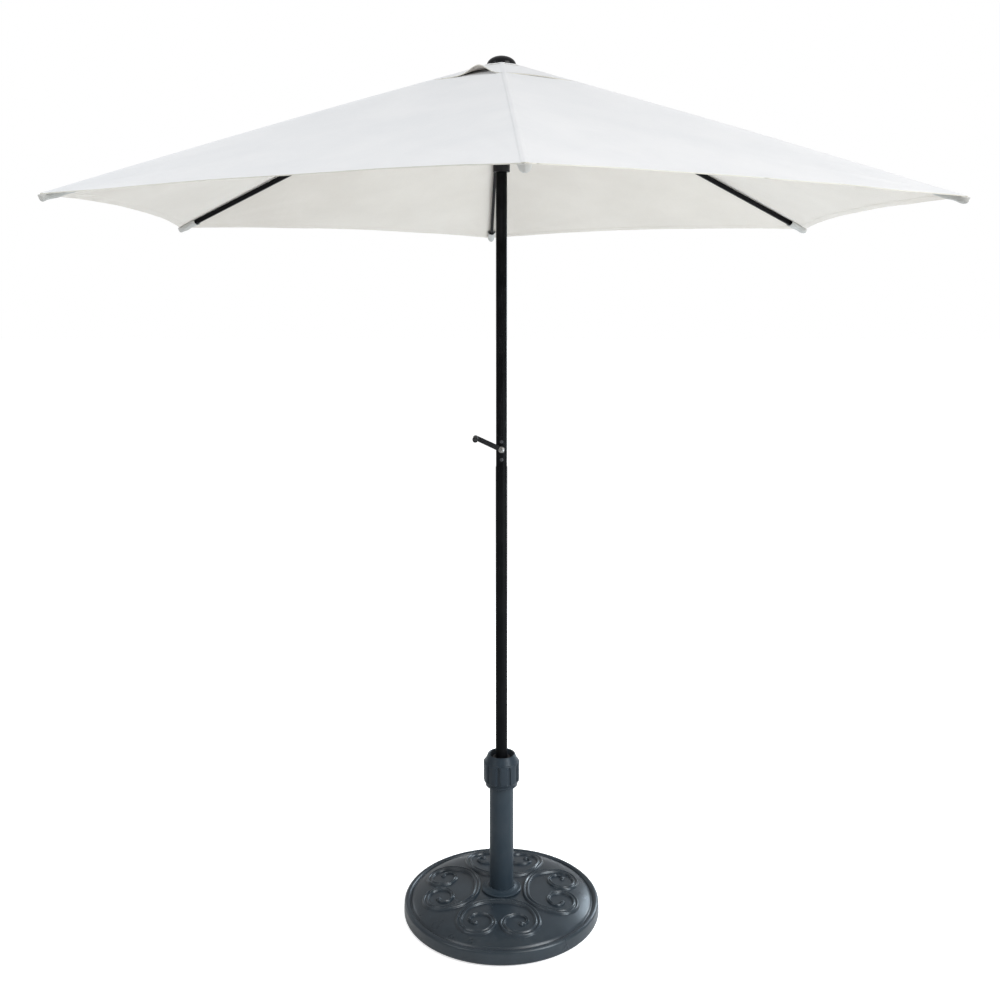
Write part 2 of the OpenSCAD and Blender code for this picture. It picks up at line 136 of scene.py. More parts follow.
def grid_faces(rows, columns, start=0, flip=False, wrap=False):
    """Quads over a grid of points stored row by row."""
    faces = []
    for i in range(rows - 1):
        for j in range(columns if wrap else columns - 1):
            a = start + i * columns + j
            b = start + i * columns + (j + 1) % columns
            quad = (a, b, b + columns, a + columns)
            faces.append(quad[::-1] if flip else quad)
    return faces


def lathe(name, profile, materials, segments):
    """A body of revolution about the mast's axis. profile is a closed outline of (radius, height)."""
    points, faces = [], []
    n = len(profile)
    for i in range(segments):
        a = 2 * math.pi * i / segments
        for r, z in profile:
            points.append((r * math.cos(a), r * math.sin(a), z))
    for i in range(segments):
        j = (i + 1) % segments
        for k in range(n):
            m = (k + 1) % n
            faces.append((i * n + k, j * n + k, j * n + m, i * n + m))
    return make_object(name, points, faces, materials)


def spline(points, per_span=8):
    """A smooth curve through given points (Catmull-Rom)."""
    p = [np.array(q, float) for q in points]
    p = [2 * p[0] - p[1]] + p + [2 * p[-1] - p[-2]]
    out = []
    for i in range(1, len(p) - 2):
        for s in range(per_span):
            t = s / per_span
            out.append(0.5 * (2 * p[i] + (p[i + 1] - p[i - 1]) * t
                              + (2 * p[i - 1] - 5 * p[i] + 4 * p[i + 1] - p[i + 2]) * t * t
                              + (3 * p[i] - p[i - 1] - 3 * p[i + 1] + p[i + 2]) * t ** 3))
    out.append(p[-2])
    return out


# ---------------------------------------------------------------- materials

class Shader:
    """A Principled material that is built up from procedural parts in the object's own coordinates."""

    def __init__(self, name, roughness, metallic=0.0, specular=0.5, sheen=0.0):
        self.material = bpy.data.materials.new(name)
        self.material.use_nodes = True
        self.tree = self.material.node_tree
        self.bsdf = self.tree.nodes["Principled BSDF"]
        self.bsdf.inputs["Roughness"].default_value = roughness
        self.bsdf.inputs["Metallic"].default_value = metallic
        self.bsdf.inputs["Specular IOR Level"].default_value = specular
        self.bsdf.inputs["Sheen Weight"].default_value = sheen
        self.place = self.node("ShaderNodeTexCoord")
        self.bump_out = None

    def node(self, kind, **values):
        made = self.tree.nodes.new(kind)
        for key, value in values.items():
            setattr(made, key, value)
        return made

    def link(self, a, b):
        self.tree.links.new(a, b)

    def coordinates(self, scale=(1, 1, 1), uv=False):
        mapping = self.node("ShaderNodeMapping")
        mapping.inputs["Scale"].default_value = scale
        self.link(self.place.outputs["UV" if uv else "Object"], mapping.inputs["Vector"])
        return mapping.outputs["Vector"]

    def noise(self, scale, detail=3.0, rough=0.55, stretch=(1, 1, 1), uv=False):
        tex = self.node("ShaderNodeTexNoise")
        tex.inputs["Scale"].default_value = scale
        tex.inputs["Detail"].default_value = detail
        tex.inputs["Roughness"].default_value = rough
        self.link(self.coordinates(stretch, uv), tex.inputs["Vector"])
        return tex.outputs["Fac"]

    def remap(self, value, low, high, to_low=0.0, to_high=1.0):
        m = self.node("ShaderNodeMapRange")
        m.inputs["From Min"].default_value = low
        m.inputs["From Max"].default_value = high
        m.inputs["To Min"].default_value = to_low
        m.inputs["To Max"].default_value = to_high
        self.link(value, m.inputs["Value"])
        return m.outputs["Result"]

    def math(self, operation, a, b):
        m = self.node("ShaderNodeMath", operation=operation)
        for socket, value in zip(m.inputs, (a, b)):
            if isinstance(value, (int, float)):
                socket.default_value = value
            else:
                self.link(value, socket)
        return m.outputs["Value"]

    def colour(self, factor, dark, light):
        mix = self.node("ShaderNodeMix", data_type="RGBA")
        mix.inputs[6].default_value = (*dark, 1)
        mix.inputs[7].default_value = (*light, 1)
        self.link(factor, mix.inputs[0])
        self.link(mix.outputs[2], self.bsdf.inputs["Base Color"])
        return mix

    def tint(self, mix, factor, colour):
        """Lays another colour over what is there, by factor."""
        over = self.node("ShaderNodeMix", data_type="RGBA")
        over.inputs[7].default_value = (*colour, 1)
        self.link(mix.outputs[2], over.inputs[6])
        self.link(factor, over.inputs[0])
        self.link(over.outputs[2], self.bsdf.inputs["Base Color"])

    def roughness(self, factor, low, high):
        self.link(self.remap(factor, 0.3, 0.7, low, high), self.bsdf.inputs["Roughness"])

    def bump(self, height, distance, strength=1.0):
        b = self.node("ShaderNodeBump")
        b.inputs["Distance"].default_value = distance
        b.inputs["Strength"].default_value = strength
        self.link(height, b.inputs["Height"])
        if self.bump_out is not None:
            self.link(self.bump_out, b.inputs["Normal"])
        self.bump_out = b.outputs["Normal"]
        self.link(self.bump_out, self.bsdf.inputs["Normal"])


def canopy_cloth(name, dark, light, roughness):
    """Woven polyester: a plain weave along the gore, soft blotches, and soft puckers all over."""
    s = Shader(name, roughness, sheen=0.25)
    s.bsdf.inputs["Sheen Roughness"].default_value = 0.45
    blotch = s.noise(5.0, 4.0, 0.6)
    threads = s.noise(240, 2.0, 0.6, stretch=(1, 0.04, 1), uv=True)
    mix = s.colour(s.remap(blotch, 0.35, 0.65), dark, light)
    s.tint(mix, s.remap(threads, 0.52, 0.8, 0.0, 0.22), tuple(c * 0.93 for c in dark))
    s.roughness(blotch, roughness - 0.06, roughness + 0.06)
    weft = s.node("ShaderNodeTexWave", bands_direction="X")
    warp = s.node("ShaderNodeTexWave", bands_direction="Y")
    for wave in (weft, warp):
        wave.inputs["Scale"].default_value = 320
        wave.inputs["Distortion"].default_value = 0.4
        s.link(s.coordinates(uv=True), wave.inputs["Vector"])
    s.bump(s.math("MULTIPLY", weft.outputs["Fac"], warp.outputs["Fac"]), 0.00025, 0.5)
    s.bump(s.noise(38, 3.0, 0.5, stretch=(1.0, 0.35, 1), uv=True), 0.0012, 0.35)
    return s.material


def painted_metal(name, dark, light, roughness, grain=900, worn=None, specular=0.25):
    """Powder coat: a fine orange-peel skin over metal, a little lighter where hands and pivots rub it."""
    s = Shader(name, roughness, specular=specular)
    broad = s.noise(14, 4.0, 0.6)
    fine = s.noise(grain, 2.0, 0.5)
    mix = s.colour(s.remap(broad, 0.2, 0.8), dark, light)
    if worn is not None:
        edge = s.node("ShaderNodeNewGeometry").outputs["Pointiness"]
        rub = s.math("MULTIPLY", s.remap(edge, 0.62, 0.72), s.remap(broad, 0.42, 0.62))
        s.tint(mix, rub, worn)
    s.roughness(broad, roughness - 0.015, roughness + 0.02)
    s.bump(fine, 0.00010, 0.4)
    return s.material


def bare_metal(name, dark, light, roughness):
    """Plain or plated steel with a fine, uneven polish."""
    s = Shader(name, roughness, metallic=1.0)
    lines = s.noise(160, 4.0, 0.7)
    s.colour(s.remap(lines, 0.3, 0.7), dark, light)
    s.roughness(lines, roughness - 0.08, roughness + 0.1)
    s.bump(lines, 0.00006, 0.5)
    return s.material


def plastic(name, dark, light, roughness, grain=1400, grain_depth=0.00008, specular=0.3):
    """Moulded plastic or resin: a fine spark-eroded grain, with faint flow marks."""
    s = Shader(name, roughness, specular=specular)
    flow = s.noise(22, 3.0, 0.5, stretch=(1, 1, 0.35))
    fine = s.noise(grain, 2.0, 0.5)
    s.colour(s.remap(flow, 0.3, 0.7), dark, light)
    s.roughness(flow, roughness - 0.03, roughness + 0.04)
    s.bump(fine, grain_depth, 0.5)
    return s.material


def braided(name, dark, light):
    """Braided lift cord: two sets of strands that cross round it."""
    s = Shader(name, 0.8, sheen=0.2)
    strands = []
    for slant in (1, -1):
        wave = s.node("ShaderNodeTexWave", bands_direction="DIAGONAL")
        wave.inputs["Scale"].default_value = 260
        wave.inputs["Distortion"].default_value = 0.3
        s.link(s.coordinates((slant, 1, 0.8)), wave.inputs["Vector"])
        strands.append(wave.outputs["Fac"])
    weave = s.math("MAXIMUM", *strands)
    s.colour(s.remap(weave, 0.2, 0.9), dark, light)
    s.bump(weave, 0.0004, 0.6)
    return s.material


MATERIALS = {
    # Painted light: the canopy is one cloth drawn in lit copies. Its top is tinted blue for a painted sky
    # reflection, and its underside is a warm cream for painted light shining through it.
    "top_cloth_painted_sky": canopy_cloth("top_cloth_painted_sky", (0.745, 0.760, 0.780), (0.785, 0.795, 0.810), 0.8),
    "under_cloth_painted_glow": canopy_cloth("under_cloth_painted_glow", (0.695, 0.650, 0.590), (0.735, 0.690, 0.630), 0.85),
    # Painted shade: the rib pockets are the canopy's cloth drawn in a darker grey for the shade at the rib
    # ends.
    "pocket_cloth_painted_shade": canopy_cloth("pocket_cloth_painted_shade", (0.46, 0.46, 0.44), (0.54, 0.54, 0.52), 0.85),
    # Painted shade: the cloth's cut edges and hems are the same cloth, drawn a darker olive for the shade on
    # the hem and flap underside.
    "edge_cloth_painted_shade": canopy_cloth("edge_cloth_painted_shade", (0.64, 0.63, 0.56), (0.72, 0.71, 0.65), 0.85),
    "pole": painted_metal("pole_powder_coat", (0.0034, 0.0036, 0.0040), (0.0048, 0.0050, 0.0056), 0.40,
                          worn=(0.02, 0.02, 0.022), specular=0.04),
    "rib": painted_metal("rib_powder_coat", (0.004, 0.004, 0.005), (0.007, 0.007, 0.008), 0.46,
                         worn=(0.02, 0.02, 0.02), specular=0.08),
    "tube": painted_metal("tube_powder_coat", (0.0190, 0.0280, 0.0370), (0.0230, 0.0340, 0.0445), 0.36,
                          grain=700, worn=(0.04, 0.045, 0.05), specular=0.16),
    "arm": painted_metal("crank_paint", (0.007, 0.007, 0.008), (0.012, 0.012, 0.013), 0.36,
                         worn=(0.05, 0.05, 0.052)),
    "steel": bare_metal("bright_steel", (0.42, 0.43, 0.45), (0.62, 0.63, 0.65), 0.30),
    "dull_steel": bare_metal("dull_steel", (0.20, 0.195, 0.19), (0.30, 0.295, 0.285), 0.38),
    "dark_steel": bare_metal("bracket_steel", (0.05, 0.05, 0.055), (0.10, 0.10, 0.105), 0.42),
    "resin": plastic("cast_resin", (0.015, 0.0215, 0.028), (0.019, 0.0270, 0.035), 0.30, grain=380,
                     grain_depth=0.00005, specular=0.38),
    "nut": plastic("nut_plastic", (0.0160, 0.0230, 0.0305), (0.0200, 0.0285, 0.0375), 0.30, grain=1100,
                   specular=0.17),
    "black": plastic("black_plastic", (0.008, 0.008, 0.009), (0.012, 0.012, 0.013), 0.48, specular=0.2),
    "gloss": plastic("gloss_plastic", (0.005, 0.005, 0.006), (0.008, 0.008, 0.009), 0.22, grain=60,
                     grain_depth=0.00004, specular=0.18),
    "sleeve": plastic("sleeve_plastic", (0.10, 0.10, 0.095), (0.14, 0.138, 0.13), 0.6),
    "rubber": plastic("rubber", (0.012, 0.012, 0.012), (0.02, 0.02, 0.02), 0.8, grain=600,
                      grain_depth=0.0002),
    "cord": braided("lift_cord", (0.50, 0.49, 0.45), (0.74, 0.73, 0.69)),
}


# ---------------------------------------------------------------- camera, floor and lights

LENS = 39.708                # for a 36 mm sensor, fitted to the photo's six tips, crown, crank and pole
SHIFT = (-0.0015, -0.146)
CAMERA_PLACE = (0, -2.9812, 1.7029)
PITCH = 3                    # degrees down
AMBIENT = 0.50               # how bright the world is to everything but the camera
FLOOR_GLOW = 0.65            # what the floor adds to its own shade for the camera


def add_camera():
    """The photo's own view of the canopy and pole, with its picture shifted down to take in the base."""
    data = bpy.data.cameras.new("camera")
    data.sensor_width = 36
    data.lens = LENS
    data.shift_x, data.shift_y = SHIFT
    data.clip_start = 0.05
    data.clip_end = 60
    camera = bpy.data.objects.new("camera", data)
    camera.location = CAMERA_PLACE
    camera.rotation_euler = (math.radians(90 - PITCH), 0, 0)
    scene.collection.objects.link(camera)
    scene.camera = camera


def area_light(name, location, target, size, power, colour):
    data = bpy.data.lights.new(name, "AREA")
    data.shape = "RECTANGLE"
    data.size, data.size_y = size
    data.energy = power
    data.color = colour
    lamp = bpy.data.objects.new(name, data)
    lamp.location = location
    lamp.rotation_euler = (Vector(target) - Vector(location)).to_track_quat("-Z", "Y").to_euler()
    lamp.visible_camera = False
    scene.collection.objects.link(lamp)


def add_floor():
    """A pale floor that the camera sees as white, as it does the world behind it."""
    half = 40
    corners = [(-half, -half, 0), (half, -half, 0), (half, half, 0), (-half, half, 0)]
    floor = make_object("studio_floor", corners, [(0, 1, 2, 3)], [])
    s = Shader("studio_floor", 0.9, specular=0.0)
    s.colour(s.remap(s.noise(1.5, 2.0), 0.3, 0.7), (0.86, 0.86, 0.86), (0.89, 0.89, 0.89))
    seen = s.node("ShaderNodeLightPath").outputs["Is Camera Ray"]
    s.bsdf.inputs["Emission Color"].default_value = (1, 1, 1, 1)
    s.link(s.math("MULTIPLY", seen, FLOOR_GLOW), s.bsdf.inputs["Emission Strength"])
    floor.data.materials.append(s.material)


def add_world():
    """White to the camera, and a softer white to everything that it lights."""
    world = bpy.data.worlds.new("studio")
    world.use_nodes = True
    tree = world.node_tree
    back = tree.nodes["Background"]
    back.inputs["Color"].default_value = (1, 1, 1, 1)
    seen = tree.nodes.new("ShaderNodeLightPath")
    strength = tree.nodes.new("ShaderNodeMapRange")
    strength.inputs["To Min"].default_value = AMBIENT
    strength.inputs["To Max"].default_value = 1.0
    tree.links.new(seen.outputs["Is Camera Ray"], strength.inputs["Value"])
    tree.links.new(strength.outputs["Result"], back.inputs["Strength"])
    scene.world = world


def add_studio():
    """Two broad lamps in front, and four cool, low ones that draw the edges of the dark tube and base."""
    add_floor()
    add_world()
    area_light("key", (3.4, -3.0, 4.4), (0, 0, 1.9), (3.0, 3.0), 185, (1.0, 0.99, 0.98))
    area_light("fill", (-2.7, -1.9, 3.0), (-0.5, -0.4, 2.0), (1.6, 1.6), 34, (0.95, 0.975, 1.0))
    area_light("side_right", (1.2, -0.95, 0.85), (0, 0, 0.25), (0.45, 1.2), 17, (0.80, 0.92, 1.0))
    area_light("back_right", (2.0, 2.6, 1.6), (0.1, 0, 0.05), (1.2, 1.2), 36, (0.74, 0.88, 1.0))
    area_light("edge_right", (1.7, 1.4, 0.8), (0, 0, 0.06), (0.4, 0.3), 9, (0.84, 0.93, 1.0))
    area_light("edge_left", (-1.6, 1.5, 0.75), (0, 0, 0.06), (0.5, 0.4), 2, (0.84, 0.93, 1.0))
    scene.view_settings.view_transform = "Standard"


add_camera()
add_studio()


# ---------------------------------------------------------------- canopy

# The cloth's top, underside and edge faces take the painted sky tint, painted glow and painted shade of the
# copies above.
CLOTH_MATERIALS = [MATERIALS["top_cloth_painted_sky"], MATERIALS["under_cloth_painted_glow"], MATERIALS["edge_cloth_painted_shade"]]


def rib_frame(k):
    """The outward and sideways directions of rib k, from where its tip is."""
    low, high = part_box(f"tip_{k}")
    middle = (low + high) / 2
    angle = math.atan2(middle.y, middle.x)
    out = np.array([math.cos(angle), math.sin(angle), 0])
    sideways = np.array([-math.sin(angle), math.cos(angle), 0])
    return out, sideways


def panel_coordinates(k, x, y):
    """Panel number, distance along its middle line and distance from that line, for points beside rib k."""
    panel = np.where(y >= 0, k, (k - 2) % RIBS + 1)
    along = x * C30 + np.abs(y) * S30
    across = np.where(y >= 0, -1, 1) * (x * S30 - np.abs(y) * C30)
    return panel, along, across


def tip_wrinkles(panel, along, across):
    """Low tension folds that fan out from the two tips of a panel and die away towards the middle."""
    height = np.zeros_like(along)
    for side in (-1, 1):
        dx = OPEN_RADIUS * C30 - along
        dy = OPEN_RADIUS * S30 - side * across
        distance = np.hypot(dx, dy)
        angle = np.arctan2(dx, dy)
        phase = panel * 1.7 + side * 0.9
        folds = np.sin(23 * angle + phase) + 0.6 * np.sin(41 * angle - 2 * phase)
        height += 0.0011 * folds * np.exp(-distance / 0.30) * smooth(distance, 0.03, 0.16)
    return height


def soft_noise(panel, along, across, scale):
    """A slow, even unevenness, the same each run."""
    flat_points = zip(np.ravel(along * scale), np.ravel(across * scale), np.ravel(panel * 3.7))
    return np.array([noise.noise(Vector(p)) for p in flat_points]).reshape(np.shape(along))


def cloth_height(k, x, y):
    """Height of the main cloth's top face beside rib k."""
    panel, along, across = panel_coordinates(k, x, y)
    width = along * T30
    edge = np.clip(np.abs(across) / np.maximum(width, 1e-6), 0, 1)
    reach = np.clip(along / (OPEN_RADIUS * C30), 0, 1)
    rib_bow = 0.0045 * np.sin(math.pi * reach) * edge ** 3
    sag = -0.007 * (1 - edge ** 2) * smooth(reach, 0.12, 0.6)
    hem_lift = 0.004 * (1 - edge ** 2) * smooth(reach, 0.75, 0.97)
    free = 1 - edge ** 10
    rough = tip_wrinkles(panel, along, across) + 0.0016 * soft_noise(panel, along, across, 6.0)
    plane = CROWN_Z - TAN_SLOPE * along / C30
    return plane + rib_bow + sag + hem_lift + rough * free


# How far the vent stands off the cloth in the middle of each panel, how far it gapes at its hem, how far the
# hem curls up there, and how far to the side of the panel's middle that is. The panel after rib k has
# number k, and the two on the viewer's left stand open a little.
VENT_HEM = VENT_RADIUS * C30 - VENT_CURVE
VENT_ROLL = 0.046            # how far in from the hem the curl begins
BILLOW = {1: 0.0003, 2: 0.0004, 3: 0.0015, 4: 0.0020, 5: 0.0060, 6: 0.0004}
GAPE = {1: 0.0, 2: 0.0, 3: 0.0006, 4: 0.0010, 5: 0.0030, 6: 0.0060}
CURL = {1: 0.0, 2: 0.0, 3: 0.0010, 4: 0.0020, 5: 0.0080, 6: 0.0170}
OFF_MIDDLE = {1: 0.0, 2: 0.0, 3: 0.0, 4: 0.0, 5: 0.010, 6: 0.022}


def vent_height(k, x, y):
    """Height of the wind vent's top face beside rib k. Between two ribs it stands off the main cloth, but
    close to a rib the main cloth's bow rises through its lower part, by 0.9 mm at most."""
    panel, along, across = panel_coordinates(k, x, y)
    width = along * T30
    edge = np.clip(np.abs(across) / np.maximum(width, 1e-6), 0, 1)
    puff, gape, curl, off = (np.vectorize(lambda p, table=table: table[int(p)])(panel)
                             for table in (BILLOW, GAPE, CURL, OFF_MIDDLE))
    free = 1 - edge ** 6
    lift = VENT_GAP + (0.0006 + puff) * smooth(along, 0.045, 0.140) * (1 - edge ** 2)
    near_hem = smooth(along, VENT_HEM - 0.060, VENT_HEM - 0.030)
    lift = lift + gape * np.exp(-((across - off) / 0.030) ** 2) * near_hem * free
    turned = np.clip((along - VENT_HEM + VENT_ROLL) / VENT_ROLL, 0, 1.2) ** 2
    lift = lift + curl * np.exp(-((across - off) / 0.036) ** 2) * turned * free
    return CROWN_Z - TAN_SLOPE * along / C30 + lift


def share_at(station, shift_curve, y):
    """The share u between two ribs at which a hoop line is y away from the rib."""
    b = station * 2 * C30 * S30 - 2 * shift_curve
    a = 2 * shift_curve
    curved = (-b + np.sqrt(b * b + 4 * a * y)) / np.maximum(2 * a, 1e-9)
    straight = y / np.maximum(b, 1e-9)
    return np.where(a > 1e-9, curved, straight)


def hoop_point(station, curve, u):
    """Plan position (x along the rib, y beside it) on a hoop line at share u between two ribs."""
    shift = curve * 4 * u * (1 - u)
    return station * (1 - u / 2) - shift * C30, station * u * 2 * C30 * S30 - shift * S30


def seam_ridge(y):
    """The flat-felled seam that runs along the rib: a band of folded cloth, a little proud of the gore."""
    return 0.0009 * (1 - smooth(np.abs(y), 0.0055, 0.0075))


def cloth_piece(name, k, side, stations, outer, inner, curve, height, hem_at, steps):
    """One closed piece of cloth beside rib k: side 0 is the strip on the rib, and 1 or -1 a half gore.
    stations are its hoop lines' distances along the rib, and height gives its top face."""
    out, sideways = rib_frame(k)
    stations = np.array(stations)
    curves = curve * smooth(stations, inner + 0.35 * (outer - inner), outer)
    edge_share = share_at(stations, curves, STRIP_HALF)
    if side == 0:
        lateral = np.array([0, 2, 4.5, 5.7, 6.6, 7.4, 9, 13, 20]) / 20
        lateral = np.concatenate([-lateral[:0:-1], lateral])
        u = edge_share[:, None] * np.abs(lateral)[None, :]
        sign = np.sign(lateral)[None, :]
    else:
        lateral = np.linspace(0, 1, steps) ** 1.15
        u = edge_share[:, None] + (0.5 - edge_share[:, None]) * lateral[None, :]
        sign = side
    x, y = hoop_point(stations[:, None], curves[:, None], u)
    y = y * sign
    top = height(k, x, y + 1e-9 * sign)
    if side == 0:
        top = top + seam_ridge(y)
    folded = smooth(stations, hem_at - 0.0006, hem_at + 0.0006)[:, None]
    stitched = 0.0005 * np.exp(-((stations[:, None] - hem_at - 0.003) / 0.0012) ** 2)
    top = top + 0.0004 * folded - stitched
    bottom = top - CLOTH - (HEM_THICK - CLOTH) * folded + stitched
    rows, columns = u.shape
    plan = x[..., None] * out + y[..., None] * sideways
    up = np.array([0, 0, 1.0])
    points = np.concatenate([(plan + top[..., None] * up).reshape(-1, 3),
                             (plan + bottom[..., None] * up).reshape(-1, 3)])
    n = rows * columns
    flip = side != -1
    faces = grid_faces(rows, columns, 0, flip) + grid_faces(rows, columns, n, not flip)
    kinds = [0] * ((rows - 1) * (columns - 1)) + [1] * ((rows - 1) * (columns - 1))
    ring = ([(0, j) for j in range(columns)]
            + [(i, columns - 1) for i in range(1, rows)]
            + [(rows - 1, j) for j in range(columns - 2, -1, -1)]
            + [(i, 0) for i in range(rows - 2, 0, -1)])
    ring = [i * columns + j for i, j in ring]
    sharp = []
    for a, b in zip(ring, ring[1:] + ring[:1]):
        rim = (a, b, b + n, a + n)
        faces.append(rim if flip else rim[::-1])
        kinds.append(2)
        sharp += [(a, b), (a + n, b + n)]
    _, along, across = panel_coordinates(k, x, y)
    uv = np.stack([across, along], axis=-1).reshape(-1, 2)
    obj = make_object(name, points, faces, CLOTH_MATERIALS, kinds, np.concatenate([uv, uv]), sharp)
    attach(obj, f"rib_{k}")
    obj["flat_area"] = layer_area(points[:n].reshape(rows, columns, 3))
    return obj


def layer_area(grid):
    """Area of a grid of points."""
    a = np.cross(grid[1:, :-1] - grid[:-1, :-1], grid[:-1, 1:] - grid[:-1, :-1])
    b = np.cross(grid[:-1, 1:] - grid[1:, 1:], grid[1:, :-1] - grid[1:, 1:])
    return float((np.linalg.norm(a, axis=-1) + np.linalg.norm(b, axis=-1)).sum() / 2)


def fold_numbers():
    """The direction along which a half gore flattens on its rib, in the rib's (sideways, normal) axes, and
    how much of it is left, so that the fold lines of two neighbours all but meet when the ribs are closed."""
    fall = math.atan(T30 * math.sin(SLOPE))
    lean = math.pi / 2 - SLOPE - CLOSED
    run = (math.cos(SLOPE) + TAN_SLOPE * math.sin(SLOPE)) * C30 + TAN_SLOPE * T30 * S30 * math.sin(SLOPE)
    side_gain = S30 / math.cos(fall)
    share = (T30 * run * math.sin(lean)
             / (side_gain * (math.cos(PLEAT_TURN) - T30 * math.sin(PLEAT_TURN) * math.cos(lean))))
    share *= 1 - FOLD_CLEAR
    start = np.array([math.cos(fall), -math.sin(fall)])
    end = share * np.array([math.cos(PLEAT_TURN), math.sin(PLEAT_TURN)])
    normal = (start - end) / np.linalg.norm(start - end)
    keep = 1 - np.linalg.norm(start - end) / float(start @ normal)
    return normal, keep


FOLD_NORMAL, FOLD_KEEP = fold_numbers()


def folds_with(obj):
    """Gives a half gore a mesh of its own."""
    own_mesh(obj)


def station_rows(inner, outer, count, hem):
    """Hoop lines from the inner edge to the hem, close together where the hem is folded over."""
    body = np.linspace(inner, outer - hem - 0.004, count)
    fold = outer - hem + np.array([-0.0006, 0.0006, 0.0018, 0.003, 0.0042, 0.006, 0.010])
    return np.concatenate([body, fold, [outer - 0.004, outer - 0.0012, outer]])


def add_canopy():
    """Each rib's share of the canopy and of the vent: a strip on the rib and a half gore on each side."""
    main_rows = station_rows(HOLE_RADIUS, OPEN_RADIUS, 96, HEM_WIDTH)
    vent_rows = station_rows(VENT_START, VENT_RADIUS, 26, VENT_HEM_WIDTH)
    for k in range(1, RIBS + 1):
        for side, word in ((0, "middle"), (1, "left"), (-1, "right")):
            main = cloth_piece(f"cloth_{k}_{word}", k, side, main_rows, OPEN_RADIUS, HOLE_RADIUS, HEM_CURVE,
                               cloth_height, OPEN_RADIUS - HEM_WIDTH, 34)
            vent = cloth_piece(f"vent_{k}_{word}", k, side, vent_rows, VENT_RADIUS, VENT_START, VENT_CURVE,
                               vent_height, VENT_RADIUS - VENT_HEM_WIDTH, 16)
            if side:
                folds_with(main)
                folds_with(vent)
            if side == 0:
                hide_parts(f"canopy_{k}")


def add_pocket(k):
    """The sewn pocket on the end of rib k, inside the hem: flat on top, with a sagging underside."""
    out, sideways = rib_frame(k)
    along_rib = out * math.cos(SLOPE) - np.array([0, 0, math.sin(SLOPE)])
    normal_dir = out * math.sin(SLOPE) + np.array([0, 0, math.cos(SLOPE)])
    origin = out * RIB_PIVOT_R + np.array([0, 0, RIB_PIVOT_Z])
    end = (OPEN_RADIUS - RIB_PIVOT_R) / math.cos(SLOPE) + 0.0030
    rows, columns = 30, 40
    points, uv = [], []
    for layer in (0.0, POCKET_CLOTH):
        for i in range(rows):
            t = i / (rows - 1)
            closing = math.sqrt(max(0.0, 1 - t ** 12))
            half = (0.0150 - 0.0040 * t) * (0.10 + 0.90 * closing) - layer
            depth = (0.0160 - 0.0008 * math.sin(13 * t + k)) * (0.10 + 0.90 * closing) - layer
            for j in range(columns):
                a = 2 * math.pi * j / columns
                v = math.cos(a)
                hang = max(0.0, -math.sin(a)) ** 0.9
                pucker = 0.0006 * math.sin(13 * v + 9 * t + k) * hang * closing
                w = 0.0074 - abs(v) * half * T30 * math.sin(SLOPE) - depth * hang + pucker
                if hang == 0.0:
                    w -= layer
                length = end - (POCKET_LENGTH + layer) * (1 - t) ** 1.5 - layer * t - 0.35 * abs(v) * half
                points.append(origin + along_rib * length + sideways * v * half + normal_dir * w)
                uv.append((v * half, length))
    n = rows * columns
    faces = grid_faces(rows, columns, 0, wrap=True) + grid_faces(rows, columns, n, True, True)
    faces += [(j, j + n, (j + 1) % columns + n, (j + 1) % columns) for j in range(columns)]
    last = (rows - 1) * columns
    faces.append(tuple(last + j for j in range(columns)))
    faces.append(tuple(last + n + j for j in reversed(range(columns))))
    # The pocket's darker grey cloth is painted shade.
    obj = make_object(f"pocket_{k}", points, faces, [MATERIALS["pocket_cloth_painted_shade"]], None, uv)
    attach(obj, f"rib_{k}")


def add_crown_cap():
    """The small piece of cloth under the finial that covers the middle of the vent."""
    rings, segments = 10, 72
    points, uv = [], []
    for layer in (0.0, -CLOTH):
        for i in range(rings):
            r = CAP_HOLE + (CAP_RADIUS - CAP_HOLE) * i / (rings - 1)
            for j in range(segments):
                a = 2 * math.pi * j / segments
                from_seam = math.degrees(a) + 90 - FIRST_RIB + 30
                k = int((from_seam % 360) // 60)
                off = math.radians(from_seam % 60 - 30)
                x, y = r * math.cos(off), r * math.sin(off)
                flat = CROWN_Z - TAN_SLOPE * (x + abs(y) * T30)
                ripple = 0.0003 * math.sin(a * 17 + k) * (r / CAP_RADIUS) ** 2
                z = flat + CAP_GAP + layer + ripple
                points.append((r * math.cos(a), r * math.sin(a), z))
                uv.append((r * math.cos(a), r * math.sin(a)))
    n = rings * segments
    faces = grid_faces(rings, segments, 0, True, True) + grid_faces(rings, segments, n, False, True)
    kinds = [0] * ((rings - 1) * segments) + [1] * ((rings - 1) * segments)
    for ring_start, flip in ((0, False), ((rings - 1) * segments, True)):
        for j in range(segments):
            a, b = ring_start + j, ring_start + (j + 1) % segments
            rim = (a, b, b + n, a + n)
            faces.append(rim[::-1] if flip else rim)
            kinds.append(2)
    obj = make_object("vent_cap", points, faces, CLOTH_MATERIALS, kinds, uv)
    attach(obj, "mast")


# ---------------------------------------------------------------- base

BASE_R = 0.269
GROOVE_Z = 0.035             # the groove inside the rim
BASE_TOP = 0.062
DOME_R = 0.253
SCROLL_TURN = math.radians(-3)

# One half of a moulded scroll, as (distance from the mast, distance to the side) in metres. It runs from the
# bow beside the tube, round the outside of the spiral and in to the bead in its middle.
HALF_SCROLL = [(0.068, 0.0), (0.070, 0.030), (0.079, 0.058), (0.099, 0.083), (0.130, 0.099),
               (0.162, 0.104), (0.189, 0.092), (0.203, 0.069), (0.204, 0.041), (0.191, 0.020),
               (0.167, 0.011), (0.143, 0.022), (0.131, 0.046), (0.137, 0.067), (0.153, 0.077),
               (0.167, 0.071), (0.168, 0.061)]

